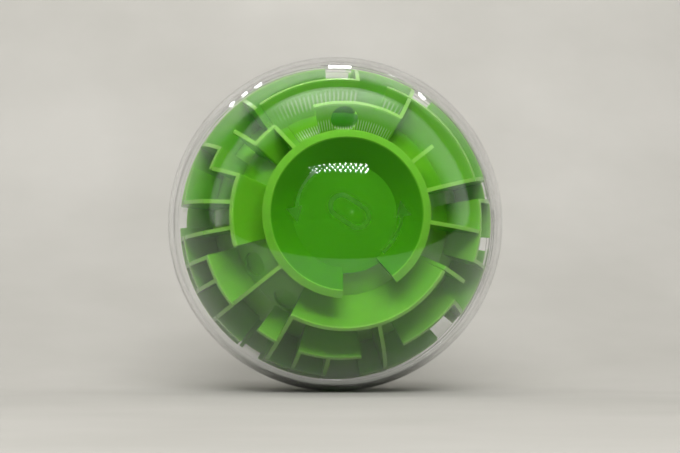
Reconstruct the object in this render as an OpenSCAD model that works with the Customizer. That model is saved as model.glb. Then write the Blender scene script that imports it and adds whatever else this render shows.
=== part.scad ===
// Ball maze inside a clear ball-shaped shell that twists open.
// The polar axis lies along Y: the front pole, with the twist arrows, faces -Y.
// Every module builds about a local +Z polar axis, and place() turns it into the part's frame.
// Azimuths are degrees about that axis, counter-clockwise from +X as seen from the front.

/* [Shell] */
// Outer diameter of the clear shell
shell_d = 100; // [84:1:130]
// Wall of the clear shell
shell_wall = 1.5; // [1.3:0.1:2.2]
// Opening turn of the front shell, degrees
twist = 20; // [12:1:28]
// Gap between the two shells at the seam
seam_gap = 0.2; // [0.1:0.05:0.4]
// Radial running gap of the seam spigot
spigot_gap = 0.3; // [0.2:0.05:0.5]
// Wall of the seam spigot
spigot_wall = 1; // [0.8:0.1:1.2]
// Reach of the spigot into the front shell
spigot_reach = 3.2; // [2.8:0.1:4.5]
// Number of bayonet lugs
lugs = 4; // [3:1:6]
// Width of each lug, degrees
lug_span = 9; // [6:1:12]
// Height of a lug above the spigot
lug_height = 0.5; // [0.4:0.05:0.6]
// Length of a lug along the axis
lug_length = 1.2; // [1:0.1:1.6]

/* [Twist arrows] */
// Radius of the arrows about the pole
arrow_r = 14.4; // [11:0.1:17]
// Width of the raised line
arrow_line = 0.8; // [0.6:0.1:1.2]
// Height of the raised line
arrow_height = 0.3; // [0.2:0.05:0.5]
// Sweep of each arrow, degrees
arrow_sweep = 62; // [40:1:80]
// Azimuth at which the first arrow starts, degrees
arrow_start = -50; // [-90:1:0]
// Length of an arrow head
arrow_head = 4.2; // [3:0.1:6]
// Length of the oval ring at the pole
mark_length = 12.4; // [8:0.1:16]
// Width of the oval ring
mark_width = 7.2; // [5:0.1:9]
// Width of the oval ring's raised line
mark_line = 1.2; // [0.6:0.1:2]
// Turn of the oval ring about the pole, degrees
mark_turn = -33; // [-90:1:90]

/* [Maze] */
// Radial gap between the maze and the shell
maze_gap = 2; // [1.8:0.1:3.5]
// Depth of the channels
channel_depth = 9.8; // [8:0.1:12]
// Thickness of the maze walls
wall = 1.1; // [0.9:0.1:1.6]
// Thickness of the core under the channels
core_wall = 2; // [1.6:0.1:2.6]
// Tilt of the ring walls from the equator plane, degrees
tilt = 30; // [26:1:32]
// Seat gap between two mouldings
seat_gap = 0.1; // [0.05:0.05:0.2]
// Thickness of the equator flange
middle_wall = 1.1; // [0.9:0.1:1.6]
// Diameter of the drop hole in the sector
drop_hole_d = 7.6; // [6.6:0.1:8.2]
// Distance of the drop hole from the wall's free edge
drop_hole_edge = 4.6; // [4.6:0.1:5.4]
// Diameter of the ball rests
rest_d = 7; // [6:0.5:9]
// Depth of the ball rests
rest_depth = 1.1; // [0.5:0.1:1.3]

/* [Dishes] */
// Thickness of a dish wall
dish_wall = 2.2; // [1.4:0.1:2.4]
// Tilt of a dish wall from the equator plane, degrees
dish_tilt = 43; // [34:1:48]
// Thickness of a dish floor
dish_floor = 2; // [1.6:0.1:2.6]
// Height of a dish floor above the core
dish_step = 1.4; // [1.2:0.1:2]
// Overhang of the floor past the wall's foot
dish_lip = 1.7; // [1:0.1:2]

/* [Fastening] */
// Diameter of the tie screw
screw_d = 4; // [3:0.5:5]
// Diameter of the screw head
head_d = 8; // [7:0.1:9]
// Height of the screw head
head_h = 2.4; // [2:0.1:3]
// Diameter of the washer
washer_d = 10; // [9:0.1:10.4]
// Thickness of the washer
washer_t = 0.8; // [0.5:0.1:1.2]
// Outer diameter of the threaded insert
insert_d = 6; // [5.6:0.1:7]
// Length of the threaded insert
insert_length = 4.6; // [4:0.1:5]
// Radial clearance of the insert in its boss
insert_gap = 0.01; // [0:0.01:0.05]
// Radial clearance of the screw in the insert
thread_gap = 0.05; // [0.02:0.01:0.1]
// Outer diameter of the centre tube
tube_d = 10; // [8:0.5:12]
// Radial clearance round the screw
screw_gap = 0.15; // [0.1:0.05:0.3]
// Diameter of the screw boss on a dish
boss_d = 12; // [11:0.5:14]
// Depth of the screw boss below the dish seat
boss_depth = 5; // [4.6:0.1:7]
// Inner diameter of the screw well at the rear pole
well_d = 11.2; // [10.8:0.1:12]
// Wall of the screw well
well_wall = 1.6; // [1.4:0.1:2]
// Thickness of the well's floor
well_floor_t = 2; // [1.6:0.1:2.6]
// Thickness of the pole cap
cap_t = 1.6; // [1.2:0.1:2]
// Radial clearance of the pole cap
cap_gap = 0.1; // [0.05:0.05:0.2]
// Wall of the pedestal collar round the well
collar_wall = 2; // [1.6:0.1:2.4]
// Overlap of the collar and the well
collar_depth = 3; // [2.4:0.1:3.4]
// Width of the two anti-turn keys
key_w = 2.4; // [2:0.1:3]
// Clearance round the well and its keys
key_gap = 0.2; // [0.1:0.05:0.3]
// Diameter of the locating pins
pin_d = 2; // [1.6:0.1:2.4]
// Length of the locating pins
pin_length = 8; // [6:0.5:9]
// Diameter of the pin bosses
pin_boss_d = 5.4; // [5:0.1:6]

/* [Steel ball] */
// Diameter of the steel ball
ball_d = 6; // [5:0.5:7]
// Gap left round the resting ball
ball_gap = 0.3; // [0.2:0.05:0.5]

/* [Hidden] */
$fn = 96;

shell_r = shell_d / 2;
shell_in = shell_r - shell_wall;
maze_r = shell_in - maze_gap;
core_r = maze_r - channel_depth;
core_in = core_r - core_wall;
reach = 2 * shell_r;
sink = 0.6; // overlap that joins two shapes of one moulding
over = 1; // overshoot of a cut past the face that it starts from
fin_in = core_r - 1.5 * sink; // a fin's foot, rooted in the core
fin_out = maze_r - 0.15; // a fin's free edge, a hair inside the ring walls' edges
half_flange = middle_wall / 2;
far_angle = 150; // a polar angle well past the equator

// Polar angles of the ring walls' free edges; the first ring is the dish rim.
dish_angle = 27;
ring_angle = [42, 57.5, 74.5];
// The dish rim is cut open over this span of azimuth.
front_dish_gap = [267, 306];
rear_dish_gap = [96, 132];
// The sector is a separate moulding between these azimuths.
sector = [59, 120];
sector_joint = 0.2;

// Ring walls, one list a ring: [start, end] azimuths, on whole degrees.
// The fins stand on half degrees, so that a wall that ends at a fin ends just inside its thickness.
front_walls_1 = [[60, 106], [128, 142], [159, 196], [242, 331]];
front_walls_2 = [[16, 71], [83, 126], [150, 160], [196, 219], [233, 242], [252, 278], [296, 324], [342, 367]];
front_walls_3 = [
    [16, 52], [60, 85], [95, 151], [160, 174], [186, 207], [218, 231], [242, 265], [278, 310],
    [323, 343], [354, 367]
];
rear_walls_1 = [[20, 54], [64, 84], [97, 116], [138, 171], [190, 247], [262, 300], [318, 350]];
rear_walls_2 = [[5, 48], [58, 122], [140, 170], [184, 226], [243, 280], [296, 338]];
rear_walls_3 = [[17, 52], [60, 85], [95, 150], [163, 181], [193, 212], [226, 262], [278, 310], [324, 352]];
middle_walls = [[3, 52], [60, 85], [95, 174], [182, 231], [240, 310], [320, 350]];

// Fins: [azimuth, ring it starts from, ring it ends at]; ring 0 is the dish and ring 4 the equator flange.
front_fins = [
    [7.5, 2, 4], [16.5, 0, 4], [38.5, 0, 1], [60.5, 1, 4], [83.5, 2, 4], [128.5, 2, 4], [128.5, 0, 1],
    [141.5, 1, 2], [150.5, 2, 4], [159.5, 1, 2], [173.5, 1, 4], [186.5, 1, 4], [196.5, 2, 4], [206.5, 2, 4],
    [218.5, 0, 4], [242.5, 1, 4], [252.5, 2, 4], [264.5, 2, 4], [287.5, 1, 4], [323.5, 2, 4], [332.5, 1, 2],
    [342.5, 2, 4], [354.5, 0, 2]
];
rear_fins = [
    [12.5, 0, 4], [32.5, 2, 4], [47.5, 1, 3], [60.5, 2, 4], [78.5, 0, 2], [104.5, 1, 2], [119.5, 2, 4],
    [136.5, 1, 4], [152.5, 0, 1], [166.5, 2, 4], [182.5, 1, 4], [200.5, 2, 3], [214.5, 0, 4], [232.5, 2, 4],
    [246.5, 1, 4], [262.5, 2, 4], [281.5, 0, 4], [297.5, 2, 3], [311.5, 1, 4], [328.5, 2, 4], [342.5, 1, 4]
];

// Ball rests: [azimuth, polar angle] on the core.
front_rests = [[208, 50], [235, 50]];
drop_hole_azimuth = 90;

// Azimuths between which the steel ball rolls, which are two of the rear fins.
ball_cell = [60.5, 119.5];

// A point on the maze's outer sphere at a polar angle, as [radius from the axis, height].
function edge_point(a) = maze_r * [sin(a), cos(a)];
// Where the front face of the cone wall at a polar angle meets a sphere.
function cone_foot(a, r, slope = tilt) = edge_point(a) -
    (maze_r * sin(a + slope) - sqrt(r * r - pow(maze_r * cos(a + slope), 2))) * [cos(slope), sin(slope)];
function within(a, span) = (a - span[0] + 720) % 360 < span[1] - span[0];

dish_foot = cone_foot(dish_angle, core_r + dish_step, dish_tilt);
dish_floor_r = dish_foot[0] + dish_lip;
dish_seat = dish_foot[1] - dish_floor;
boss_end = dish_seat - boss_depth;
insert_relief = 0.2; // room past the insert's inner end

spigot_r = sqrt(shell_in * shell_in - spigot_reach * spigot_reach) - spigot_gap;
lug_r = spigot_r + lug_height;
lug_land = 0.4; // spigot left past a lug
lug_base = spigot_reach - lug_length - lug_land;
groove_r = lug_r + spigot_gap;
lug_play = 1; // degrees of free play at each side of a lug

cap_seat = shell_r - cap_t;
head_gap = 0.2; // between the screw head and the pole cap
well_floor = cap_seat - head_h - washer_t - head_gap;
well_end = well_floor - well_floor_t;
well_out_r = well_d / 2 + well_wall;
collar_r = well_out_r + key_gap + collar_wall;
pedestal_end = well_end - seat_gap;

pin_boss_r = pin_boss_d / 2;
pin_bite = 0.2; // depth of a pin boss in the core's wall
pin_circle = core_in - pin_boss_r + pin_bite;
pin_azimuths = [30, 150, 270];
flange_in = pin_circle - pin_boss_r;
pin_roof = 0.8; // solid left over a pin hole
pin_boss_h = pin_length / 2 + pin_roof - half_flange - seat_gap;

ball_r = ball_d / 2;
channel_mid = (cone_foot(ring_angle[1], core_r) + cone_foot(ring_angle[2], core_r)) / 2;
ball_centre = channel_mid * (core_r + ball_r + ball_gap) / norm(channel_mid);
ball_stop = asin((ball_r + wall / 2 + ball_gap) / ball_centre[0]);
ball_azimuth = ball_cell[1] - ball_stop;

maze_green = [0.36, 0.62, 0.22];
clear = [0.86, 0.92, 0.92, 0.25];

module place() {
    rotate([90, 0, 0]) children();
}

module rear() {
    place() mirror([0, 0, 1]) children();
}

// All that lies behind the front face of the cone wall at a polar angle, lowered by drop.
module under(a, drop, slope = tilt) {
    translate(edge_point(a))
        rotate(slope)
            translate([-reach, -2 * reach - drop])
                square(2 * reach);
}

// The right half of a ring between two circles.
module half_ring(r_in, r_out) {
    difference() {
        circle(r_out);
        circle(r_in);
        translate([-2 * reach, -reach]) square([2 * reach, 2 * reach]);
    }
}

// The slice of the channel space between two cone faces.
module slice(r_in, r_out, top, top_drop, bottom, bottom_drop, top_slope = tilt, bottom_slope = tilt) {
    intersection() {
        half_ring(r_in, r_out);
        difference() {
            under(top, top_drop, top_slope);
            under(bottom, bottom_drop, bottom_slope);
        }
    }
}

module turn(span) {
    rotate([0, 0, span[0]]) rotate_extrude(angle = span[1] - span[0]) children();
}

// The cone wall of one ring over its listed spans.
module cone_walls(a, spans, drop) {
    for (span = spans)
        turn(span) slice(core_r - sink, maze_r, a, drop, a, drop + wall);
}

// One fin, standing in a plane through the axis.
module fin(azimuth) {
    rotate([0, 0, azimuth])
        rotate([90, 0, 0])
            translate([0, 0, -wall / 2])
                linear_extrude(wall) children();
}

// Keeps a profile above the equator flange.
module above_flange() {
    difference() {
        children();
        translate([-reach, half_flange + seat_gap - 2 * reach]) square(2 * reach);
    }
}

// Inner layer, from the dish to ring 2, over one span of azimuth: core, ring 1 and its fins.
module inner_layer(span, walls, fins) {
    difference() {
        union() {
            turn([span[0] + sector_joint / 2, span[1] - sector_joint / 2]) inner_core();
            cone_walls(ring_angle[0], [for (w = walls) if (within(w[0], span)) w], 0);
            for (f = fins)
                if (f[1] < 2 && within(f[0], span))
                    fin(f[0]) inner_fin(f[1], f[2]);
        }
        cylinder(h = reach, r = boss_d / 2 + key_gap);
    }
}

module inner_core() {
    difference() {
        intersection() {
            half_ring(core_in, core_r);
            translate([0, -reach]) square([reach, reach + dish_seat - seat_gap]);
        }
        under(ring_angle[1], -seat_gap);
    }
}

module inner_fin(from, to) {
    difference() {
        slice(
            fin_in, fin_out,
            from == 0 ? dish_angle : ring_angle[0], from == 0 ? dish_wall + seat_gap : wall / 2,
            to == 1 ? ring_angle[0] : ring_angle[1], to == 1 ? wall / 2 : -2 * seat_gap,
            from == 0 ? dish_tilt : tilt
        );
        translate([0, dish_seat - 2 * seat_gap]) square([dish_floor_r + seat_gap, reach]);
    }
}

// Layer of ring 2: core, cone walls and the fins down to ring 3.
module second_layer(walls, fins) {
    rotate_extrude() slice(core_in, core_r, ring_angle[1], 0, ring_angle[2], -seat_gap);
    cone_walls(ring_angle[1], walls, seat_gap);
    for (f = fins)
        if (f[1] <= 2 && f[2] > 2)
            fin(f[0]) slice(fin_in, fin_out, ring_angle[1], 2 * seat_gap, ring_angle[2], -2 * seat_gap);
}

// Layer of ring 3: core, cone walls, the fins down to the equator flange and the pin bosses.
module third_layer(walls, fins) {
    difference() {
        union() {
            rotate_extrude() above_flange() slice(core_in, core_r, ring_angle[2], 0, far_angle, 0);
            cone_walls(ring_angle[2], walls, seat_gap);
            for (f = fins)
                if (f[1] <= 3 && f[2] > 3)
                    fin(f[0])
                        above_flange() slice(fin_in, fin_out, ring_angle[2], 2 * seat_gap, far_angle, 0);
            at_pins()
                translate([0, 0, half_flange + seat_gap])
                    cylinder(h = pin_boss_h, d = pin_boss_d);
        }
        at_pins() cylinder(h = pin_length / 2 + seat_gap, d = pin_d + 2 * screw_gap);
    }
}

module at_pins() {
    for (azimuth = pin_azimuths)
        rotate([0, 0, azimuth]) translate([pin_circle, 0, 0]) children();
}

// A bowl at the pole with a flat floor, a rim that is open over one gap, and a screw boss beneath.
module dish(gap) {
    rotate_extrude()
        translate([0, dish_seat]) square([dish_floor_r, dish_floor]);
    turn([gap[1], gap[0] + 360])
        slice(core_r, maze_r, dish_angle, 0, dish_angle, dish_wall, dish_tilt, dish_tilt);
    translate([0, 0, boss_end]) cylinder(h = boss_depth + sink, d = boss_d);
}

module front_shell() {
    color(clear) place() {
        difference() {
            rotate_extrude() shell_profile();
            for (i = [0 : lugs - 1]) rotate([0, 0, i * 360 / lugs]) bayonet_groove();
        }
        raised_marks();
    }
}

module shell_profile() {
    intersection() {
        half_ring(shell_in, shell_r);
        translate([0, seam_gap]) square(reach);
    }
}

// The groove that a lug slides along, with its way in from the seam at the opening end.
module bayonet_groove() {
    half = lug_span / 2 + lug_play;
    turn([-half - twist, half])
        translate([spigot_r, lug_base - spigot_gap])
            square([groove_r - spigot_r, lug_length + 2 * spigot_gap]);
    turn([-half - twist, half - twist])
        translate([spigot_r, -over]) square([groove_r - spigot_r, lug_base + over]);
}

// Two arrows that curve about the pole and an oval ring between them, raised from the outer face.
module raised_marks() {
    intersection() {
        difference() {
            sphere(shell_r + arrow_height);
            sphere(shell_r - sink / 2);
        }
        linear_extrude(reach) {
            for (side = [0, 180]) rotate(side) arrow_outline();
            rotate(mark_turn)
                difference() {
                    oval(mark_length, mark_width);
                    oval(mark_length - 2 * mark_line, mark_width - 2 * mark_line);
                }
        }
    }
}

module arrow_outline() {
    tip = arrow_start + arrow_sweep;
    stem_end = tip - arrow_head / arrow_r * 45; // inside the head, which is 57 degrees over its radius
    intersection() {
        difference() {
            circle(arrow_r + arrow_line / 2);
            circle(arrow_r - arrow_line / 2);
        }
        polygon([
            [0, 0], reach * [cos(arrow_start), sin(arrow_start)],
            reach * [cos(stem_end), sin(stem_end)]
        ]);
    }
    rotate(tip)
        translate([arrow_r, 0])
            polygon([[-arrow_head / 2, -arrow_head], [arrow_head / 2, -arrow_head], [0, 0]]);
}

// A slot shape: a rectangle with round ends.
module oval(length, width) {
    square([length - width, width], center = true);
    for (end = [-1, 1])
        translate([end * (length - width) / 2, 0]) circle(width / 2);
}

module rear_shell() {
    color(clear) rear() {
        difference() {
            union() {
                rotate_extrude() rear_shell_profile();
                for (i = [0 : lugs - 1]) rotate([0, 0, i * 360 / lugs]) lug();
                for (side = [0, 180]) rotate([0, 0, side]) well_key(key_w, well_end);
            }
            translate([0, 0, well_end - over]) cylinder(h = reach, d = screw_d + 2 * screw_gap);
        }
    }
}

module rear_shell_profile() {
    difference() {
        union() {
            intersection() {
                half_ring(shell_in, shell_r);
                square(reach);
            }
            translate([spigot_r - spigot_wall, 0])
                square([shell_in + sink - spigot_r + spigot_wall, spigot_reach]);
            translate([spigot_r - spigot_wall, -spigot_reach]) square([spigot_wall, spigot_reach + sink]);
            translate([0, well_end]) square([well_out_r, shell_in + sink - well_end]);
        }
        translate([-over, well_floor]) square([well_d / 2 + over, reach]);
    }
}

module lug() {
    turn([-lug_span / 2, lug_span / 2])
        translate([spigot_r - spigot_wall / 2, -lug_base - lug_length])
            square([lug_r - spigot_r + spigot_wall / 2, lug_length]);
}

// A rib on the well that stops the maze turning in the shell.
module well_key(width, base) {
    translate([well_out_r - well_wall / 2, -width / 2, base])
        cube([(well_wall + collar_wall) / 2, width, collar_depth + over]);
}

module front_dish() {
    color(maze_green) place()
        difference() {
            dish(front_dish_gap);
            translate([0, 0, boss_end - over])
                cylinder(h = insert_length + over + insert_relief, d = insert_d + 2 * insert_gap);
        }
}

module front_ring_1() {
    color(maze_green) place()
        difference() {
            inner_layer([sector[1], sector[0] + 360], front_walls_1, front_fins);
            for (rest = front_rests)
                rotate([0, 0, rest[0]])
                    rotate([0, rest[1], 0])
                        translate([0, 0, core_r - rest_depth])
                            cylinder(h = channel_depth / 2, d = rest_d);
        }
}

module front_sector() {
    hole = edge_point(ring_angle[0]) - drop_hole_edge * [cos(tilt), sin(tilt)];
    color(maze_green) place()
        difference() {
            inner_layer(sector, front_walls_1, front_fins);
            rotate([0, 0, drop_hole_azimuth])
                translate([hole[0], 0, hole[1]])
                    rotate([0, -tilt, 0])
                        cylinder(h = 4 * wall, d = drop_hole_d, center = true);
        }
}

module front_ring_2() {
    color(maze_green) place() second_layer(front_walls_2, front_fins);
}

module front_ring_3() {
    color(maze_green) place() third_layer(front_walls_3, front_fins);
}

module middle_ring() {
    color(maze_green) place()
        difference() {
            union() {
                rotate_extrude()
                    translate([flange_in, -half_flange]) square([core_r - flange_in, middle_wall]);
                for (span = middle_walls)
                    turn(span)
                        intersection() {
                            circle(maze_r);
                            translate([core_r - sink, -half_flange]) square([reach, middle_wall]);
                        }
            }
            at_pins() cylinder(h = 2 * middle_wall, d = pin_d + 2 * screw_gap, center = true);
        }
}

module rear_ring_3() {
    color(maze_green) rear() third_layer(rear_walls_3, rear_fins);
}

module rear_ring_2() {
    color(maze_green) rear() second_layer(rear_walls_2, rear_fins);
}

module rear_sector() {
    color(maze_green) rear() inner_layer(sector, rear_walls_1, rear_fins);
}

module rear_ring_1() {
    color(maze_green) rear() inner_layer([sector[1], sector[0] + 360], rear_walls_1, rear_fins);
}

// The rear dish has a pedestal whose collar takes the shell's screw well.
module rear_dish() {
    color(maze_green) rear()
        difference() {
            union() {
                dish(rear_dish_gap);
                translate([0, 0, dish_seat])
                    cylinder(h = pedestal_end + collar_depth - dish_seat, r = collar_r);
            }
            translate([0, 0, pedestal_end]) cylinder(h = reach, r = well_out_r + key_gap);
            for (side = [0, 180])
                rotate([0, 0, side])
                    translate([0, -key_w / 2 - key_gap, pedestal_end])
                        cube([reach, key_w + 2 * key_gap, reach]);
            cylinder(h = reach, d = screw_d + 2 * screw_gap);
        }
}

module centre_tube() {
    color(maze_green) place()
        difference() {
            cylinder(h = 2 * (boss_end - seat_gap), d = tube_d, center = true);
            cylinder(h = reach, d = screw_d + 4 * screw_gap, center = true);
        }
}

module thread_insert() {
    color("goldenrod") place()
        translate([0, 0, boss_end])
            difference() {
                cylinder(h = insert_length, d = insert_d);
                translate([0, 0, -over]) cylinder(h = reach, d = screw_d + 2 * thread_gap);
            }
}

module tie_screw() {
    setback = 0.4; // of the tip from the insert's inner end
    cross = 1; // width of the cross recess
    tip = boss_end + insert_length - setback;
    head = well_floor + washer_t;
    color("silver") place() {
        translate([0, 0, -head - sink]) cylinder(h = tip + head + sink, d = screw_d);
        difference() {
            translate([0, 0, -head - head_h]) cylinder(h = head_h, d = head_d);
            for (quarter = [0, 90])
                rotate([0, 0, quarter])
                    translate([-head_d / 4, -cross / 2, -head - head_h - over])
                        cube([head_d / 2, cross, head_h / 2 + over]);
        }
    }
}

module tie_washer() {
    color("silver") rear()
        translate([0, 0, well_floor])
            difference() {
                cylinder(h = washer_t, d = washer_d);
                translate([0, 0, -over])
                    cylinder(h = washer_t + 2 * over, d = screw_d + 2 * screw_gap);
            }
}

module pole_cap() {
    color(clear) rear()
        rotate_extrude()
            intersection() {
                circle(shell_r, $fn = 360);
                translate([0, cap_seat]) square([well_d / 2 - cap_gap, reach]);
            }
}

module locating_pins() {
    color("silver") place() at_pins() cylinder(h = pin_length, d = pin_d, center = true);
}

module steel_ball() {
    color("lightgrey") rear()
        rotate([0, 0, ball_azimuth])
            translate([ball_centre[0], 0, ball_centre[1]])
                sphere(ball_r);
}

front_shell();
rear_shell();
front_dish();
front_ring_1();
front_sector();
front_ring_2();
front_ring_3();
middle_ring();
rear_ring_3();
rear_ring_2();
rear_sector();
rear_ring_1();
rear_dish();
centre_tube();
thread_insert();
tie_screw();
tie_washer();
pole_cap();
locating_pins();
steel_ball();
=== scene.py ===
import math

import bpy
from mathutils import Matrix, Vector


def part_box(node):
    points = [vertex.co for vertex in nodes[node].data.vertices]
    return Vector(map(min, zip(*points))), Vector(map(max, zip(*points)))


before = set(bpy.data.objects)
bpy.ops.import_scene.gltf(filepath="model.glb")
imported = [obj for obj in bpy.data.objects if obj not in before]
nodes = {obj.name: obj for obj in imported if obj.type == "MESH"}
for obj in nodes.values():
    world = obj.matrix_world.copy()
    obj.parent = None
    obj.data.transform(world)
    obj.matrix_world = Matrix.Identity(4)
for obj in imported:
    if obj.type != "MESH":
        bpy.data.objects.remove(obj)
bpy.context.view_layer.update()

# ---- Table and backdrop -------------------------------------------------------------------------
# The ball rests on a plain pale sheet that runs level under it and curves up into a backdrop
# behind. The sheet is not part of the puzzle.

ball_low, ball_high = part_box("front_shell")
shell_radius = (ball_high.x - ball_low.x) / 2
table_z = ball_low.z


def new_material(name):
    """A material with its nodes on, and the shader and tree that every section sets up."""
    made = bpy.data.materials.new(name)
    made.use_nodes = True
    return made, made.node_tree, made.node_tree.nodes["Principled BSDF"]


def add_node(tree, kind, **settings):
    """A shader node with its properties and plain input values set by name."""
    node = tree.nodes.new("ShaderNode" + kind)
    for key, value in settings.items():
        if hasattr(node, key):
            setattr(node, key, value)
        else:
            node.inputs[key.replace("_", " ")].default_value = value
    return node


def swept_sheet(name, outline, half_width, material):
    """A sheet that carries an outline in the YZ plane straight across X, shaded smooth."""
    points = [(side * half_width, y, z) for side in (-1, 1) for y, z in outline]
    count = len(outline)
    faces = [(i, i + count, i + count + 1, i + 1) for i in range(count - 1)]
    mesh = bpy.data.meshes.new(name)
    mesh.from_pydata(points, [], faces)
    mesh.shade_smooth()
    mesh.materials.append(material)
    made = bpy.data.objects.new(name, mesh)
    bpy.context.scene.collection.objects.link(made)
    return made


backdrop_curve = 0.45
backdrop_height = 2.4
sheet_reach = 3.0
curve_steps = 32
bend = []
for i in range(curve_steps + 1):
    lean = math.radians(90 * i / curve_steps)
    rise = backdrop_curve * (1 - math.cos(lean))
    bend.append((backdrop_curve * math.sin(lean), table_z + rise))
sheet_outline = [(-sheet_reach, table_z)] + bend + [(bend[-1][0], table_z + backdrop_height)]

paper, paper_tree, paper_shader = new_material("backdrop_paper")
paper_grain = add_node(paper_tree, "TexNoise", Scale=9.0, Detail=4.0, Roughness=0.55)
paper_place = add_node(paper_tree, "TexCoord")
paper_ramp = add_node(paper_tree, "ValToRGB")
paper_tones = ((0.3, (0.405, 0.394, 0.362, 1)), (0.7, (0.465, 0.453, 0.421, 1)))
for stop, (position, tone) in zip(paper_ramp.color_ramp.elements, paper_tones):
    stop.position, stop.color = position, tone
paper_tree.links.new(paper_place.outputs["Object"], paper_grain.inputs["Vector"])
paper_tree.links.new(paper_grain.outputs["Fac"], paper_ramp.inputs["Fac"])
# Painted reflection: in reflections the front of the table is painted near black from the edge
# below forwards, as if a dark card lay on it.
dark_reflection_edge = -0.12
dark_reflection_colour = (0.012, 0.012, 0.012, 1)
any_bounce = 0.5
paper_parts = add_node(paper_tree, "SeparateXYZ")
paper_front = add_node(paper_tree, "Math", operation="LESS_THAN")
paper_front.inputs[1].default_value = dark_reflection_edge
paper_path = add_node(paper_tree, "LightPath")
paper_mirrored = add_node(paper_tree, "Math", operation="GREATER_THAN")
paper_mirrored.inputs[1].default_value = any_bounce
paper_hide = add_node(paper_tree, "Math", operation="MULTIPLY")
paper_colour = add_node(paper_tree, "Mix", data_type="RGBA")
paper_colour.inputs[7].default_value = dark_reflection_colour
paper_tree.links.new(paper_place.outputs["Object"], paper_parts.inputs[0])
paper_tree.links.new(paper_parts.outputs["Y"], paper_front.inputs[0])
paper_tree.links.new(paper_path.outputs["Glossy Depth"], paper_mirrored.inputs[0])
paper_tree.links.new(paper_front.outputs["Value"], paper_hide.inputs[0])
paper_tree.links.new(paper_mirrored.outputs["Value"], paper_hide.inputs[1])
paper_tree.links.new(paper_hide.outputs["Value"], paper_colour.inputs[0])
paper_tree.links.new(paper_ramp.outputs["Color"], paper_colour.inputs[6])
paper_tree.links.new(paper_colour.outputs[2], paper_shader.inputs["Base Color"])
# The sheet is seen from its front only, so that it never stands between the ball and a view.
paper_side = add_node(paper_tree, "NewGeometry")
paper_clear = add_node(paper_tree, "BsdfTransparent")
paper_mix = add_node(paper_tree, "MixShader")
paper_tree.links.new(paper_side.outputs["Backfacing"], paper_mix.inputs[0])
paper_tree.links.new(paper_shader.outputs[0], paper_mix.inputs[1])
paper_tree.links.new(paper_clear.outputs[0], paper_mix.inputs[2])
paper_tree.links.new(paper_mix.outputs[0], paper_tree.nodes["Material Output"].inputs["Surface"])
paper_shader.inputs["Roughness"].default_value = 0.8
paper_shader.inputs["Specular IOR Level"].default_value = 0.1

swept_sheet("backdrop", sheet_outline, sheet_reach, paper)

# ---- Studio light -------------------------------------------------------------------------------
# A long panel of small diodes stands above and in front of the ball, with a soft panel overhead and
# a few small lamps behind. The side of the room that the front pole faces is dim.


def toward(side_angle, height_angle):
    """A unit direction: the side angle turns from -Y towards +X, the height angle lifts it."""
    side, height = math.radians(side_angle), math.radians(height_angle)
    level = math.cos(height)
    return Vector((math.sin(side) * level, -math.cos(side) * level, math.sin(height)))


def panel_light(name, side_angle, height_angle, distance, width, height, watts, in_gloss=True):
    """An area light that faces the ball's centre."""
    lamp = bpy.data.lights.new(name, "AREA")
    lamp.shape = "RECTANGLE"
    lamp.size, lamp.size_y, lamp.energy = width, height, watts
    made = bpy.data.objects.new(name, lamp)
    direction = toward(side_angle, height_angle)
    made.location = direction * distance
    made.rotation_mode = "QUATERNION"
    made.rotation_quaternion = direction.to_track_quat("Z", "Y")
    made.visible_glossy = in_gloss
    made.visible_transmission = in_gloss
    bpy.context.scene.collection.objects.link(made)
    return made


panel_light(
    "overhead_panel", side_angle=0, height_angle=46, distance=1.1,
    width=0.9, height=0.5, watts=5.2, in_gloss=False,
)
panel_light(
    "diode_panel_fill", side_angle=-1, height_angle=33, distance=0.62,
    width=0.42, height=0.09, watts=1.9, in_gloss=False,
)
# The wash is turned away from the ball, to shine down on the backdrop.
wash = panel_light(
    "backdrop_wash", side_angle=180, height_angle=80, distance=0.9,
    width=1.6, height=0.3, watts=7.4, in_gloss=False,
)
wash_back = Vector((0, -0.75, 0.6))
wash.rotation_quaternion = wash_back.to_track_quat("Z", "Y")
# Each rear lamp's side angle, height angle, width, height and watts.
rear_distance = 0.55
rear_lamps = [
    (173.5, 52.6, 0.058, 0.020, 0.14),
    (-155.5, 43.0, 0.021, 0.010, 0.024),
    (-151.5, 40.0, 0.021, 0.010, 0.024),
    (-147.5, 37.0, 0.021, 0.010, 0.024),
    (135.0, 45.5, 0.041, 0.010, 0.038),
]
for number, (side, height, wide, tall, watts) in enumerate(rear_lamps):
    panel_light(f"rear_lamp_{number}", side, height, rear_distance, wide, tall, watts)

diode_glow, _, glow_shader = new_material("diode_glow")
glow_shader.inputs["Emission Color"].default_value = (1, 1, 0.98, 1)
glow_shader.inputs["Emission Strength"].default_value = 60.0
diode_columns, diode_rows = 12, 3
panel_width, panel_height, panel_distance = 0.415, 0.066, 0.62
panel_way = toward(-1, 32.6)
panel_right = Vector((0, 0, 1)).cross(panel_way).normalized()
panel_up = panel_way.cross(panel_right)
diode_half, diode_growth, diode_corners = 0.0048, 0.0034, 6
diode_points, diode_faces = [], []
for column in range(diode_columns):
    for row in range(diode_rows):
        stagger = 0.5 if row % 2 else 0.0
        across = ((column + stagger) / diode_columns - 0.5) * panel_width
        along = ((row + 0.5) / diode_rows - 0.5) * panel_height
        middle = panel_way * panel_distance + panel_right * across + panel_up * along
        reach = diode_half + diode_growth * column / diode_columns
        start = len(diode_points)
        for turn in range(diode_corners):
            angle = math.radians(360 / diode_corners * turn)
            diode_points.append(
                middle + reach * (math.cos(angle) * panel_right + math.sin(angle) * panel_up)
            )
        diode_faces.append(tuple(range(start, start + diode_corners)))
diode_mesh = bpy.data.meshes.new("diode_panel")
diode_mesh.from_pydata(diode_points, [], diode_faces)
diode_mesh.materials.append(diode_glow)
diode_panel = bpy.data.objects.new("diode_panel", diode_mesh)
bpy.context.scene.collection.objects.link(diode_panel)
diode_panel.visible_camera = False
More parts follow.
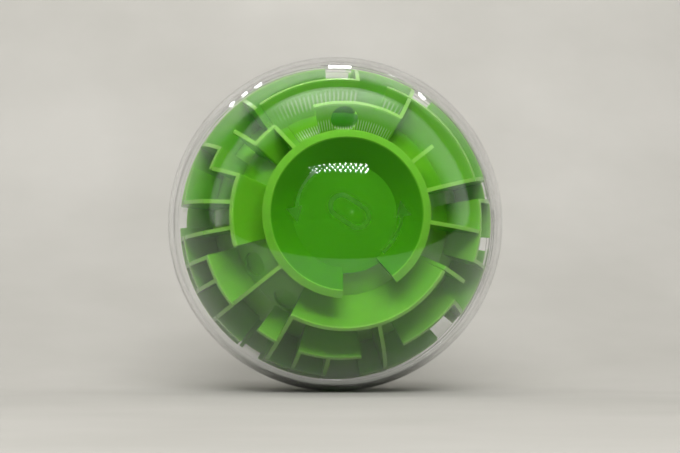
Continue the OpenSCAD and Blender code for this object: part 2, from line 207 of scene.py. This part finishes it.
diode_panel.visible_diffuse = False
diode_panel.visible_shadow = False

room = bpy.data.worlds.new("room")
room.use_nodes = True
room_tree = room.node_tree
room_shader = room_tree.nodes["Background"]
room_way = add_node(room_tree, "TexCoord")
room_side = add_node(room_tree, "VectorMath", operation="DOT_PRODUCT")
room_side.inputs[1].default_value = toward(0, -10)
room_dim = add_node(room_tree, "MapRange", interpolation_type="SMOOTHSTEP")
room_dim.inputs["From Min"].default_value = -0.05
room_dim.inputs["From Max"].default_value = 0.22
room_mix = add_node(room_tree, "Mix", data_type="RGBA")
room_mix.inputs[6].default_value = (0.85, 0.84, 0.81, 1)
room_mix.inputs[7].default_value = (0.015, 0.015, 0.015, 1)
room_top = add_node(room_tree, "VectorMath", operation="DOT_PRODUCT")
room_top.inputs[1].default_value = toward(180, 70)
ceiling = add_node(room_tree, "MapRange", interpolation_type="SMOOTHSTEP")
ceiling.inputs["From Min"].default_value = 0.84
ceiling.inputs["From Max"].default_value = 0.95
room_ceiling = add_node(room_tree, "Mix", data_type="RGBA")
room_ceiling.inputs[7].default_value = (2.1, 2.08, 2.02, 1)
room_path = add_node(room_tree, "LightPath")
room_fill = add_node(room_tree, "Mix", data_type="RGBA")
room_fill.inputs[7].default_value = (0.33, 0.327, 0.318, 1)
room_bounces = add_node(room_tree, "Math", operation="ADD")
room_seen = add_node(room_tree, "Math", operation="LESS_THAN")
room_seen.inputs[1].default_value = any_bounce
room_show = add_node(room_tree, "Mix", data_type="RGBA")
room_show.inputs[7].default_value = (0.66, 0.645, 0.61, 1)
links = room_tree.links
links.new(room_way.outputs["Generated"], room_side.inputs[0])
links.new(room_way.outputs["Generated"], room_top.inputs[0])
links.new(room_side.outputs["Value"], room_dim.inputs["Value"])
links.new(room_top.outputs["Value"], ceiling.inputs["Value"])
links.new(room_dim.outputs["Result"], room_mix.inputs[0])
links.new(ceiling.outputs["Result"], room_ceiling.inputs[0])
links.new(room_mix.outputs[2], room_ceiling.inputs[6])
links.new(room_path.outputs["Diffuse Depth"], room_fill.inputs[0])
links.new(room_ceiling.outputs[2], room_fill.inputs[6])
links.new(room_path.outputs["Diffuse Depth"], room_bounces.inputs[0])
links.new(room_path.outputs["Glossy Depth"], room_bounces.inputs[1])
links.new(room_bounces.outputs["Value"], room_seen.inputs[0])
links.new(room_seen.outputs["Value"], room_show.inputs[0])
links.new(room_fill.outputs[2], room_show.inputs[6])
links.new(room_show.outputs[2], room_shader.inputs["Color"])
room_shader.inputs["Strength"].default_value = 1.0
bpy.context.scene.world = room
bpy.context.scene.view_settings.view_transform = "Standard"

# ---- Camera -------------------------------------------------------------------------------------
# A little to the left of the front pole's line and below it, at ten shell radii.

camera_radii = 10
camera_data = bpy.data.cameras.new("camera")
camera_data.lens = 88.1
camera_data.sensor_width = 36.0
camera_data.clip_start = 0.01
camera_data.shift_x = 0.0069
camera_data.shift_y = -0.0037
camera = bpy.data.objects.new("camera", camera_data)
camera_way = toward(-4.5, -4.0)
camera.location = camera_way * shell_radius * camera_radii
camera.rotation_mode = "QUATERNION"
camera.rotation_quaternion = camera_way.to_track_quat("Z", "Y")
bpy.context.scene.collection.objects.link(camera)
bpy.context.scene.camera = camera

# ---- Green mouldings ----------------------------------------------------------------------------
# Twelve injection mouldings in a tinted, slightly see-through styrene stack up into the maze. The
# light they gather leaves at the thin free edges; that glow is painted into the colour, so the
# edges read paler than the faces.


def new_group(name, inputs, outputs):
    """A shader node group with named sockets, as (tree, input node, output node)."""
    tree = bpy.data.node_groups.new(name, "ShaderNodeTree")
    for socket, kind, value in inputs:
        made = tree.interface.new_socket(name=socket, in_out="INPUT", socket_type=kind)
        made.default_value = value
    for socket, kind in outputs:
        tree.interface.new_socket(name=socket, in_out="OUTPUT", socket_type=kind)
    return tree, tree.nodes.new("NodeGroupInput"), tree.nodes.new("NodeGroupOutput")


# Moulded plastic: slow flow clouds in the tint, a fine satin ripple and a few handling scuffs.
moulded, moulded_in, moulded_out = new_group(
    "moulded_plastic",
    [
        ("Tint", "NodeSocketColor", (0.1, 0.4, 0.02, 1)),
        ("Cloud Tint", "NodeSocketColor", (0.15, 0.5, 0.04, 1)),
        ("Base Roughness", "NodeSocketFloat", 0.2),
        ("Scuff", "NodeSocketFloat", 0.1),
    ],
    [("Color", "NodeSocketColor"), ("Roughness", "NodeSocketFloat"), ("Height", "NodeSocketFloat")],
)
place = add_node(moulded, "TexCoord")
cloud = add_node(moulded, "TexNoise", Scale=28.0, Detail=3.0, Roughness=0.5)
cloud_mix = add_node(moulded, "Mix", data_type="RGBA")
scuff = add_node(moulded, "TexNoise", Scale=420.0, Detail=5.0, Roughness=0.65)
scuff_range = add_node(moulded, "MapRange")
scuff_range.inputs["From Min"].default_value = 0.52
scuff_range.inputs["From Max"].default_value = 0.8
scuff_scale = add_node(moulded, "Math", operation="MULTIPLY")
rough_sum = add_node(moulded, "Math", operation="ADD")
ripple = add_node(moulded, "TexNoise", Scale=900.0, Detail=2.0, Roughness=0.5)
flow = add_node(moulded, "TexNoise", Scale=60.0, Detail=2.0, Roughness=0.4)
height_sum = add_node(moulded, "Math", operation="MULTIPLY_ADD")
height_sum.inputs[1].default_value = 0.25
for texture in (cloud, scuff, ripple, flow):
    moulded.links.new(place.outputs["Object"], texture.inputs["Vector"])
moulded.links.new(cloud.outputs["Fac"], cloud_mix.inputs[0])
moulded.links.new(moulded_in.outputs["Tint"], cloud_mix.inputs[6])
moulded.links.new(moulded_in.outputs["Cloud Tint"], cloud_mix.inputs[7])
moulded.links.new(cloud_mix.outputs[2], moulded_out.inputs["Color"])
moulded.links.new(scuff.outputs["Fac"], scuff_range.inputs["Value"])
moulded.links.new(scuff_range.outputs["Result"], scuff_scale.inputs[0])
moulded.links.new(moulded_in.outputs["Scuff"], scuff_scale.inputs[1])
moulded.links.new(moulded_in.outputs["Base Roughness"], rough_sum.inputs[0])
moulded.links.new(scuff_scale.outputs["Value"], rough_sum.inputs[1])
moulded.links.new(rough_sum.outputs["Value"], moulded_out.inputs["Roughness"])
moulded.links.new(ripple.outputs["Fac"], height_sum.inputs[0])
moulded.links.new(flow.outputs["Fac"], height_sum.inputs[2])
moulded.links.new(height_sum.outputs["Value"], moulded_out.inputs["Height"])

# Free edge: a mask that rises where a wall reaches the maze's outer sphere.
edge_glow, edge_in, edge_out = new_group(
    "free_edge",
    [("Radius", "NodeSocketFloat", 0.046), ("Width", "NodeSocketFloat", 0.0008)],
    [("Mask", "NodeSocketFloat")],
)
edge_place = add_node(edge_glow, "TexCoord")
edge_length = add_node(edge_glow, "VectorMath", operation="LENGTH")
edge_start = add_node(edge_glow, "Math", operation="SUBTRACT")
edge_range = add_node(edge_glow, "MapRange", interpolation_type="SMOOTHSTEP")
edge_glow.links.new(edge_place.outputs["Object"], edge_length.inputs[0])
edge_glow.links.new(edge_in.outputs["Radius"], edge_start.inputs[0])
edge_glow.links.new(edge_in.outputs["Width"], edge_start.inputs[1])
edge_glow.links.new(edge_length.outputs["Value"], edge_range.inputs["Value"])
edge_glow.links.new(edge_start.outputs["Value"], edge_range.inputs["From Min"])
edge_glow.links.new(edge_in.outputs["Radius"], edge_range.inputs["From Max"])
edge_glow.links.new(edge_range.outputs["Result"], edge_out.inputs["Mask"])

# Painted reflection: fine pale radial streaks at the foot of the inner walls, from one distance off
# the polar axis to another, fading out to both sides of the top. They are the diode panel's fine
# reflection, painted into the colour.
streak_glint, streak_glint_in, streak_glint_out = new_group(
    "painted_streak_glint",
    [
        ("Inner", "NodeSocketFloat", 0.025),
        ("Outer", "NodeSocketFloat", 0.027),
        ("Streaks", "NodeSocketFloat", 225.0),
    ],
    [("Mask", "NodeSocketFloat")],
)
glint_place = add_node(streak_glint, "TexCoord")
glint_parts = add_node(streak_glint, "SeparateXYZ")
glint_flat = add_node(streak_glint, "VectorMath", operation="MULTIPLY")
glint_flat.inputs[1].default_value = (1, 0, 1)
glint_off = add_node(streak_glint, "VectorMath", operation="LENGTH")
glint_turn = add_node(streak_glint, "Math", operation="ARCTAN2")
glint_count = add_node(streak_glint, "Math", operation="MULTIPLY")
glint_wave = add_node(streak_glint, "Math", operation="SINE")
glint_lines = add_node(streak_glint, "MapRange", interpolation_type="SMOOTHSTEP")
glint_lines.inputs["From Min"].default_value = -0.2
glint_lines.inputs["From Max"].default_value = 0.8
glint_width = add_node(streak_glint, "Math", operation="SUBTRACT")
glint_middle = add_node(streak_glint, "Math", operation="ADD")
glint_half = add_node(streak_glint, "Math", operation="MULTIPLY")
glint_half.inputs[1].default_value = 0.5
glint_away = add_node(streak_glint, "Math", operation="SUBTRACT")
glint_near = add_node(streak_glint, "Math", operation="ABSOLUTE")
glint_share = add_node(streak_glint, "Math", operation="DIVIDE")
glint_band = add_node(streak_glint, "MapRange", interpolation_type="SMOOTHSTEP")
glint_band.inputs["From Min"].default_value = 0.5
glint_band.inputs["From Max"].default_value = 0.25
glint_side = add_node(streak_glint, "Math", operation="ABSOLUTE")
glint_fade = add_node(streak_glint, "MapRange", interpolation_type="SMOOTHSTEP")
glint_fade.inputs["From Min"].default_value = 0.62
glint_fade.inputs["From Max"].default_value = 0.38
glint_cut = add_node(streak_glint, "Math", operation="MULTIPLY")
glint_all = add_node(streak_glint, "Math", operation="MULTIPLY")
for start, end in (
    (glint_place.outputs["Object"], glint_parts.inputs[0]),
    (glint_place.outputs["Object"], glint_flat.inputs[0]),
    (glint_flat.outputs["Vector"], glint_off.inputs[0]),
    (glint_parts.outputs["X"], glint_turn.inputs[0]),
    (glint_parts.outputs["Z"], glint_turn.inputs[1]),
    (glint_turn.outputs["Value"], glint_count.inputs[0]),
    (streak_glint_in.outputs["Streaks"], glint_count.inputs[1]),
    (glint_count.outputs["Value"], glint_wave.inputs[0]),
    (glint_wave.outputs["Value"], glint_lines.inputs["Value"]),
    (streak_glint_in.outputs["Outer"], glint_width.inputs[0]),
    (streak_glint_in.outputs["Inner"], glint_width.inputs[1]),
    (streak_glint_in.outputs["Outer"], glint_middle.inputs[0]),
    (streak_glint_in.outputs["Inner"], glint_middle.inputs[1]),
    (glint_middle.outputs["Value"], glint_half.inputs[0]),
    (glint_off.outputs["Value"], glint_away.inputs[0]),
    (glint_half.outputs["Value"], glint_away.inputs[1]),
    (glint_away.outputs["Value"], glint_near.inputs[0]),
    (glint_near.outputs["Value"], glint_share.inputs[0]),
    (glint_width.outputs["Value"], glint_share.inputs[1]),
    (glint_share.outputs["Value"], glint_band.inputs["Value"]),
    (glint_turn.outputs["Value"], glint_side.inputs[0]),
    (glint_side.outputs["Value"], glint_fade.inputs["Value"]),
    (glint_lines.outputs["Result"], glint_cut.inputs[0]),
    (glint_band.outputs["Result"], glint_cut.inputs[1]),
    (glint_cut.outputs["Value"], glint_all.inputs[0]),
    (glint_fade.outputs["Result"], glint_all.inputs[1]),
    (glint_all.outputs["Value"], streak_glint_out.inputs["Mask"]),
):
    streak_glint.links.new(start, end)

# Painted shade: a ball-shaped region where the tint is painted deep green, so that the floor seen
# through the drop hole reads dark, as if in shade.
hole_shade, hole_shade_in, hole_shade_out = new_group(
    "painted_hole_shade",
    [("Centre", "NodeSocketVector", (0, 0, 0)), ("Reach", "NodeSocketFloat", 0.004)],
    [("Mask", "NodeSocketFloat")],
)
hole_shade_place = add_node(hole_shade, "TexCoord")
hole_shade_away = add_node(hole_shade, "VectorMath", operation="DISTANCE")
hole_shade_near = add_node(hole_shade, "Math", operation="DIVIDE")
hole_shade_range = add_node(hole_shade, "MapRange", interpolation_type="SMOOTHSTEP")
hole_shade_range.inputs["From Min"].default_value = 1.0
hole_shade_range.inputs["From Max"].default_value = 0.75
hole_shade.links.new(hole_shade_place.outputs["Object"], hole_shade_away.inputs[0])
hole_shade.links.new(hole_shade_in.outputs["Centre"], hole_shade_away.inputs[1])
hole_shade.links.new(hole_shade_away.outputs["Value"], hole_shade_near.inputs[0])
hole_shade.links.new(hole_shade_in.outputs["Reach"], hole_shade_near.inputs[1])
hole_shade.links.new(hole_shade_near.outputs["Value"], hole_shade_range.inputs["Value"])
hole_shade.links.new(hole_shade_range.outputs["Result"], hole_shade_out.inputs["Mask"])

maze_low, maze_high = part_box("middle_ring")
maze_radius = (maze_high.x - maze_low.x) / 2
edge_inset, edge_depth = 0.0001, 0.0005
# The pale streak colour is a painted reflection of the diode panel.
glint_pale = (0.40, 0.60, 0.27, 1)
# The deep green for that region is painted shade round the drop hole.
hole_shade_green = (0.025, 0.20, 0.002, 1)


def green_material(
    name, tint, cloud_tint, edge_tint, roughness, gloss, streaks=None, hole_shade_spot=None
):
    """One green moulding's plastic: the shared finish, free edges painted pale for their glow, and
    its own painted reflection streaks and painted shade.
    """
    made, tree, shader = new_material(name)
    finish = add_node(tree, "Group", node_tree=moulded)
    finish.inputs["Tint"].default_value = tint
    finish.inputs["Cloud Tint"].default_value = cloud_tint
    finish.inputs["Base Roughness"].default_value = roughness
    finish.inputs["Scuff"].default_value = 0.1
    colour = finish.outputs["Color"]
    edges = add_node(tree, "Group", node_tree=edge_glow)
    edges.inputs["Radius"].default_value = maze_radius - edge_inset
    edges.inputs["Width"].default_value = edge_depth
    layers = [(edges, edge_tint)]
    # Painted reflection: pale streaks at the wall feet, for the diode panel's reflection.
    if streaks:
        streak_glints = add_node(tree, "Group", node_tree=streak_glint)
        for socket, value in zip(("Inner", "Outer", "Streaks"), streaks):
            streak_glints.inputs[socket].default_value = value
        layers.append((streak_glints, glint_pale))
    # Painted shade: the tint goes deep round the drop hole.
    if hole_shade_spot:
        spot = add_node(tree, "Group", node_tree=hole_shade)
        spot.inputs["Centre"].default_value = hole_shade_spot[0]
        spot.inputs["Reach"].default_value = hole_shade_spot[1]
        layers.append((spot, hole_shade_green))
    for mask, layer_tint in layers:
        over = add_node(tree, "Mix", data_type="RGBA")
        over.inputs[7].default_value = layer_tint
        tree.links.new(colour, over.inputs[6])
        tree.links.new(mask.outputs["Mask"], over.inputs[0])
        colour = over.outputs[2]
    bump = add_node(tree, "Bump", Strength=0.12, Distance=0.0002)
    tree.links.new(colour, shader.inputs["Base Color"])
    tree.links.new(finish.outputs["Roughness"], shader.inputs["Roughness"])
    tree.links.new(finish.outputs["Height"], bump.inputs["Height"])
    tree.links.new(bump.outputs["Normal"], shader.inputs["Normal"])
    shader.inputs["IOR"].default_value = 1.55
    shader.inputs["Specular IOR Level"].default_value = gloss
    shader.inputs["Subsurface Weight"].default_value = 0.4
    shader.inputs["Subsurface Radius"].default_value = (0.6, 1.0, 0.25)
    shader.inputs["Subsurface Scale"].default_value = 0.003
    return made


# Painted light: the free edges are tinted pale for the glow of light leaving them, less so on the
# dish.
pale_edge, dish_edge = (0.22, 0.54, 0.055, 1), (0.15, 0.46, 0.03, 1)
satin_green = green_material(
    "satin_green", (0.12, 0.44, 0.014, 1), (0.155, 0.50, 0.020, 1), pale_edge, 0.2, 0.5
)
# The second and gloss greens carry painted reflection streaks and painted shade round the drop
# hole.
second_green = green_material(
    "second_green", (0.14, 0.46, 0.018, 1), (0.175, 0.51, 0.026, 1), pale_edge, 0.2, 0.5,
    streaks=(0.0320, 0.0368, 180.0), hole_shade_spot=((0, -0.0205, 0.0303), 0.0044),
)
gloss_green = green_material(
    "gloss_green", (0.12, 0.43, 0.014, 1), (0.155, 0.49, 0.020, 1), pale_edge, 0.18, 0.5,
    streaks=(0.0242, 0.0276, 225.0), hole_shade_spot=((0, -0.0218, 0.0294), 0.0066),
)
# Painted shade: the dish is the same plastic painted a darker, deeper green, for its dim look.
dish_shade_green = green_material(
    "dish_shade_green", (0.048, 0.28, 0.003, 1), (0.056, 0.305, 0.004, 1), dish_edge, 0.36, 0.1
)


mould_break, dish_break, metal_break = 0.00012, 0.0002, 0.00008
sharpest_kept = math.radians(40)


def finish_node(name, material, edge_radius):
    """Gives a moulding its plastic and breaks its sharp corners with a small mould radius."""
    node = nodes[name]
    node.data.materials.clear()
    node.data.materials.append(material)
    if edge_radius:
        corner = node.modifiers.new("mould_radius", "BEVEL")
        corner.width = edge_radius
        corner.segments = 2
        corner.limit_method = "ANGLE"
        corner.angle_limit = sharpest_kept
        corner.harden_normals = False


green_nodes = [
    "front_ring_1", "front_ring_3", "middle_ring", "rear_ring_3", "rear_ring_2",
    "rear_ring_1", "rear_dish", "centre_tube",
]
for name in green_nodes:
    finish_node(name, satin_green, mould_break)
finish_node("front_ring_2", second_green, mould_break)
finish_node("front_dish", dish_shade_green, dish_break)
finish_node("front_sector", gloss_green, mould_break)
finish_node("rear_sector", gloss_green, mould_break)

# ---- Clear shell --------------------------------------------------------------------------------
# Two clear mouldings and a small clear cap. Lamps shine through them, so that the maze inside is
# lit as it is through real clear plastic.


mark_height, mark_depth, mark_roughness = 0.00012, 0.00009, 0.3


def clear_material(name, tint, mark_tint):
    """Polished clear plastic with a slow moulding wave, and satin raised marks on its outside,
    tinted grey-green as painted shade.
    """
    made, tree, shader = new_material(name)
    finish = add_node(tree, "Group", node_tree=moulded)
    finish.inputs["Tint"].default_value = tint
    finish.inputs["Cloud Tint"].default_value = tint
    finish.inputs["Base Roughness"].default_value = 0.0
    finish.inputs["Scuff"].default_value = 0.02
    raised = add_node(tree, "Group", node_tree=edge_glow)
    raised.inputs["Radius"].default_value = shell_radius + mark_height
    raised.inputs["Width"].default_value = mark_depth
    marked = add_node(tree, "Mix", data_type="RGBA")
    marked.inputs[7].default_value = mark_tint
    satin = add_node(tree, "Math", operation="MULTIPLY_ADD")
    satin.inputs[1].default_value = mark_roughness
    bump = add_node(tree, "Bump", Strength=0.02, Distance=0.0001)
    path = add_node(tree, "LightPath")
    lamp_way = add_node(tree, "BsdfTransparent")
    lamp_way.inputs["Color"].default_value = (0.94, 0.95, 0.94, 1)
    mix = add_node(tree, "MixShader")
    out = tree.nodes["Material Output"]
    tree.links.new(finish.outputs["Color"], marked.inputs[6])
    tree.links.new(raised.outputs["Mask"], marked.inputs[0])
    tree.links.new(marked.outputs[2], shader.inputs["Base Color"])
    tree.links.new(raised.outputs["Mask"], satin.inputs[0])
    tree.links.new(finish.outputs["Roughness"], satin.inputs[2])
    tree.links.new(satin.outputs["Value"], shader.inputs["Roughness"])
    tree.links.new(finish.outputs["Height"], bump.inputs["Height"])
    tree.links.new(bump.outputs["Normal"], shader.inputs["Normal"])
    tree.links.new(path.outputs["Is Shadow Ray"], mix.inputs[0])
    tree.links.new(shader.outputs[0], mix.inputs[1])
    tree.links.new(lamp_way.outputs[0], mix.inputs[2])
    tree.links.new(mix.outputs[0], out.inputs["Surface"])
    shader.inputs["Transmission Weight"].default_value = 1.0
    shader.inputs["IOR"].default_value = 1.49
    return made


# The grey-green on the raised marks is painted shade for the way their edges bend light.
clear_styrene = clear_material("clear_styrene", (0.985, 0.992, 0.987, 1), (0.70, 0.78, 0.66, 1))
for name in ("front_shell", "rear_shell", "pole_cap"):
    finish_node(name, clear_styrene, 0)

# ---- Fastening and ball -------------------------------------------------------------------------
# A long zinc-plated screw with a washer, a brass insert, three steel pins, and the polished ball
# that the player rolls.


scratch_squeeze = 4
smoothest, roughest, dull_share = 0.7, 1.6, 0.86


def metal_material(name, colour, roughness, scratch_scale, scratch_depth):
    """Bare metal with fine turned or rolled scratches."""
    made, tree, shader = new_material(name)
    where = add_node(tree, "TexCoord")
    stretch = add_node(tree, "Mapping")
    squeezed = scratch_scale * scratch_squeeze
    stretch.inputs["Scale"].default_value = (scratch_scale, squeezed, scratch_scale)
    grain = add_node(tree, "TexNoise", Scale=1.0, Detail=4.0, Roughness=0.7)
    rough = add_node(tree, "MapRange")
    rough.inputs["To Min"].default_value = roughness * smoothest
    rough.inputs["To Max"].default_value = roughness * roughest
    shade = add_node(tree, "Mix", data_type="RGBA")
    shade.inputs[6].default_value = colour
    shade.inputs[7].default_value = tuple(c * dull_share for c in colour[:3]) + (1,)
    bump = add_node(tree, "Bump", Strength=scratch_depth, Distance=0.00005)
    tree.links.new(where.outputs["Object"], stretch.inputs["Vector"])
    tree.links.new(stretch.outputs["Vector"], grain.inputs["Vector"])
    tree.links.new(grain.outputs["Fac"], rough.inputs["Value"])
    tree.links.new(grain.outputs["Fac"], shade.inputs[0])
    tree.links.new(grain.outputs["Fac"], bump.inputs["Height"])
    tree.links.new(rough.outputs["Result"], shader.inputs["Roughness"])
    tree.links.new(shade.outputs[2], shader.inputs["Base Color"])
    tree.links.new(bump.outputs["Normal"], shader.inputs["Normal"])
    shader.inputs["Metallic"].default_value = 1.0
    return made


zinc = metal_material("zinc_plate", (0.62, 0.63, 0.65, 1), 0.28, 900.0, 0.3)
brass = metal_material("turned_brass", (0.78, 0.55, 0.22, 1), 0.26, 1200.0, 0.25)
bearing_steel = metal_material("bearing_steel", (0.72, 0.73, 0.75, 1), 0.06, 700.0, 0.04)
for name in ("tie_screw", "tie_washer", "locating_pins"):
    finish_node(name, zinc, metal_break)
finish_node("thread_insert", brass, metal_break)
finish_node("steel_ball", bearing_steel, 0)
